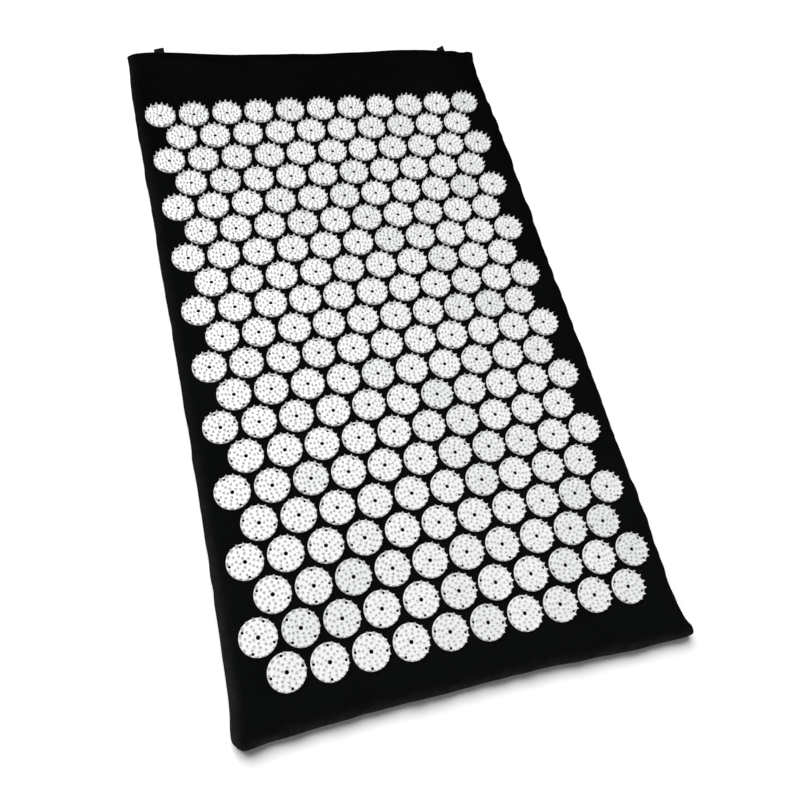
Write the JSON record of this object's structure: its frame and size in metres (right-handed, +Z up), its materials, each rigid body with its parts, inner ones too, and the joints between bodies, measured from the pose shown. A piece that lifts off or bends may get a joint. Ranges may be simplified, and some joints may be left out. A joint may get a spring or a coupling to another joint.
{
  "type": "acupressure mat",
  "caption": "Flat rectangular acupressure mat: a foam pad in a black cotton cover, its top set with staggered rows of white spiked plastic discs.",
  "frame": {"origin": "centre of the flat underside, on the floor", "axes": "+X across the mat, +Y along it to the end whose mouth opens, +Z up from the floor to the spikes"},
  "size_m": [0.422, 0.7693, 0.0264],
  "materials": {
    "cotton": "matt plain-woven cotton, black",
    "foam": "open-cell polyurethane foam, off-white",
    "disc_plastic": "moulded polystyrene, white, soft gloss",
    "hook_tape": "nylon hook tape, black",
    "loop_tape": "nylon loop tape, black",
    "webbing": "ribbed cotton webbing, black"
  },
  "bodies": {
    "mat": {"foam_pad": "foam", "cover_top": "cotton", "cover_base": "cotton", "hook_tape": "hook_tape", "disc_row_01": "disc_plastic", "disc_row_02": "disc_plastic", "disc_row_03": "disc_plastic", "disc_row_04": "disc_plastic", "disc_row_05": "disc_plastic", "disc_row_06": "disc_plastic", "disc_row_07": "disc_plastic", "disc_row_08": "disc_plastic", "disc_row_09": "disc_plastic", "disc_row_10": "disc_plastic", "disc_row_11": "disc_plastic", "disc_row_12": "disc_plastic", "disc_row_13": "disc_plastic", "disc_row_14": "disc_plastic", "disc_row_15": "disc_plastic", "disc_row_16": "disc_plastic", "disc_row_17": "disc_plastic", "disc_row_18": "disc_plastic", "disc_row_19": "disc_plastic", "disc_row_20": "disc_plastic"},
    "mouth": {"mouth_flap": "cotton", "loop_tape": "loop_tape"},
    "tab_left": {"pull_tab_left": "webbing"},
    "tab_right": {"pull_tab_right": "webbing"}
  },
  "joints": [
    {"name": "mouth_open", "type": "hinge", "parent": "mat", "child": "mouth", "pos_m": [0, 0.344, 0.0206], "axis": [1, 0, 0], "range_deg": [0, 150]},
    {"name": "tab_left_fold", "type": "hinge", "parent": "mouth", "child": "tab_left", "pos_m": [-0.1765, 0.3803, 0.0053], "axis": [1, 0, 0], "range_deg": [0, 165]},
    {"name": "tab_right_fold", "type": "hinge", "parent": "mouth", "child": "tab_right", "pos_m": [0.1765, 0.3803, 0.0053], "axis": [1, 0, 0], "range_deg": [0, 165]}
  ]
}
